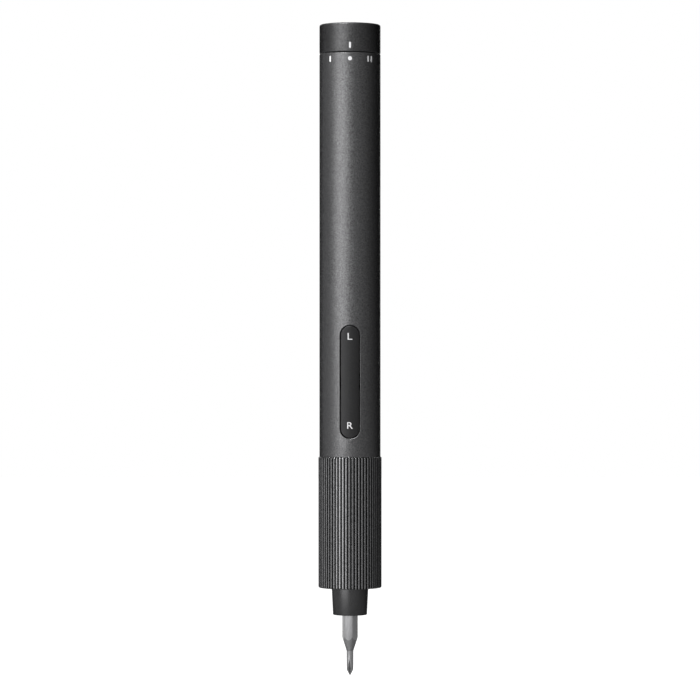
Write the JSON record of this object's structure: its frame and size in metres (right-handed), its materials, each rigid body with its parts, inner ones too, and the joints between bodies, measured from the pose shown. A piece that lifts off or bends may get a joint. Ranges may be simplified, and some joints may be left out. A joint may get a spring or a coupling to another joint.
{
  "type": "electric screwdriver",
  "caption": "Slim pen-shaped electric screwdriver: round barrel with a long rocker button, ribbed grip, tapered nose with a hex bit, and a turning selector ring around the charging port.",
  "frame": {"origin": "on the tool's axis, at the plane where the barrel meets the shoulder of the grip", "axes": "+Z along the axis towards the tail, so the bit points to -Z; the rocker button faces -Y"},
  "size_m": [0.0182, 0.0182, 0.1874],
  "materials": {
    "barrel_finish": "fine blasted, dark grey anodised",
    "grip_finish": "straight ribs, dark grey anodised",
    "nose_finish": "smooth satin, dark grey anodised",
    "button_finish": "satin, dark grey",
    "bit_steel": "satin steel",
    "drive_steel": "ground steel",
    "gear_steel": "sintered steel",
    "bush_bronze": "sintered bronze",
    "magnet_nickel": "nickel plated",
    "inner_plastic": "moulded, black",
    "plunger_plastic": "moulded, ivory",
    "board_laminate": "solder mask over laminate",
    "ribbon_film": "amber film",
    "battery_wrap": "shrink wrap over a cell",
    "seal_rubber": "moulded ring"
  },
  "bodies": {
    "body": {"barrel": "barrel_finish", "battery_cell": "battery_wrap", "battery_tabs": "drive_steel", "board_chips": "inner_plastic", "board_ribbon": "ribbon_film", "board_screws": "drive_steel", "chassis": "inner_plastic", "chassis_screws": "drive_steel", "control_board": "board_laminate", "front_bush": "bush_bronze", "front_plate": "drive_steel", "gear_case": "drive_steel", "grip_sleeve": "grip_finish", "hall_sensors": "inner_plastic", "left_switch": "inner_plastic", "motor_can": "drive_steel", "motor_end_cap": "inner_plastic", "motor_magnets": "magnet_nickel", "motor_plate": "drive_steel", "motor_screws": "drive_steel", "motor_tabs": "drive_steel", "nose_cone": "nose_finish", "port_plate": "inner_plastic", "rear_bush": "bush_bronze", "right_switch": "inner_plastic", "rocker_bracket": "inner_plastic", "rocker_pin": "drive_steel", "selector_board": "board_laminate", "selector_o_ring": "seal_rubber", "tail_board": "board_laminate", "tail_chips": "inner_plastic", "tail_plug": "inner_plastic", "thrust_washer": "drive_steel", "usb_shell": "drive_steel", "usb_tongue": "inner_plastic"},
    "spindle": {"spindle": "drive_steel", "spindle_pins": "drive_steel", "bit_magnet": "magnet_nickel", "spindle_circlip": "drive_steel"},
    "bit": {"driver_bit": "bit_steel"},
    "output_planet_a": {"output_planet_a": "gear_steel"},
    "output_planet_b": {"output_planet_b": "gear_steel"},
    "output_planet_c": {"output_planet_c": "gear_steel"},
    "stage": {"stage_carrier": "drive_steel", "stage_pins": "drive_steel"},
    "input_planet_a": {"input_planet_a": "gear_steel"},
    "input_planet_b": {"input_planet_b": "gear_steel"},
    "input_planet_c": {"input_planet_c": "gear_steel"},
    "rotor": {"motor_rotor": "drive_steel", "motor_shaft": "drive_steel", "motor_pinion": "gear_steel"},
    "rocker": {"rocker_button": "button_finish"},
    "left_plunger": {"left_plunger": "plunger_plastic"},
    "right_plunger": {"right_plunger": "plunger_plastic"},
    "selector": {"selector_ring": "barrel_finish", "selector_magnet": "magnet_nickel"}
  },
  "joints": [
    {"name": "spindle_spin", "type": "hinge", "parent": "body", "child": "spindle", "pos_m": [0, 0, -0.0345], "axis": [0, 0, 1], "continuous": true},
    {"name": "bit_pull", "type": "slide", "parent": "spindle", "child": "bit", "axis": [0, 0, -1], "range_m": [0, 0.014]},
    {"name": "stage_spin", "type": "hinge", "parent": "body", "child": "stage", "pos_m": [0, 0, -0.0264], "axis": [0, 0, 1], "continuous": true},
    {"name": "rotor_spin", "type": "hinge", "parent": "body", "child": "rotor", "pos_m": [0, 0, -0.0109], "axis": [0, 0, 1], "continuous": true},
    {"name": "output_planet_a_spin", "type": "hinge", "parent": "spindle", "child": "output_planet_a", "pos_m": [0.00411, 0, -0.0288], "axis": [0, 0, 1], "continuous": true},
    {"name": "output_planet_b_spin", "type": "hinge", "parent": "spindle", "child": "output_planet_b", "pos_m": [-0.00206, 0.00356, -0.0288], "axis": [0, 0, 1], "continuous": true},
    {"name": "output_planet_c_spin", "type": "hinge", "parent": "spindle", "child": "output_planet_c", "pos_m": [-0.00206, -0.00356, -0.0288], "axis": [0, 0, 1], "continuous": true},
    {"name": "input_planet_a_spin", "type": "hinge", "parent": "stage", "child": "input_planet_a", "pos_m": [0.00411, 0, -0.0239], "axis": [0, 0, 1], "continuous": true},
    {"name": "input_planet_b_spin", "type": "hinge", "parent": "stage", "child": "input_planet_b", "pos_m": [-0.00206, 0.00356, -0.0239], "axis": [0, 0, 1], "continuous": true},
    {"name": "input_planet_c_spin", "type": "hinge", "parent": "stage", "child": "input_planet_c", "pos_m": [-0.00206, -0.00356, -0.0239], "axis": [0, 0, 1], "continuous": true},
    {"name": "rocker_tilt", "type": "hinge", "parent": "body", "child": "rocker", "pos_m": [0, -0.0058, 0.0216], "axis": [1, 0, 0], "range_deg": [-1.5, 1.5], "stiffness_Nm_per_rad": 0.25},
    {"name": "left_push", "type": "slide", "parent": "body", "child": "left_plunger", "axis": [0, 1, 0], "range_m": [-0.0003, 0.0003]},
    {"name": "right_push", "type": "slide", "parent": "body", "child": "right_plunger", "axis": [0, 1, 0], "range_m": [-0.0003, 0.0003]},
    {"name": "selector_turn", "type": "hinge", "parent": "body", "child": "selector", "pos_m": [0, 0, 0.1203], "axis": [0, 0, 1], "range_deg": [-40, 40]}
  ],
  "couplings": [
    {"joint": "stage_spin", "follows": "spindle_spin", "ratio": 4},
    {"joint": "rotor_spin", "follows": "spindle_spin", "ratio": 16},
    {"joint": "output_planet_a_spin", "follows": "spindle_spin", "ratio": -3},
    {"joint": "output_planet_b_spin", "follows": "spindle_spin", "ratio": -3},
    {"joint": "output_planet_c_spin", "follows": "spindle_spin", "ratio": -3},
    {"joint": "input_planet_a_spin", "follows": "spindle_spin", "ratio": -12},
    {"joint": "input_planet_b_spin", "follows": "spindle_spin", "ratio": -12},
    {"joint": "input_planet_c_spin", "follows": "spindle_spin", "ratio": -12},
    {"joint": "left_push", "follows": "rocker_tilt", "m_per_rad": -0.011},
    {"joint": "right_push", "follows": "rocker_tilt", "m_per_rad": 0.011}
  ]
}
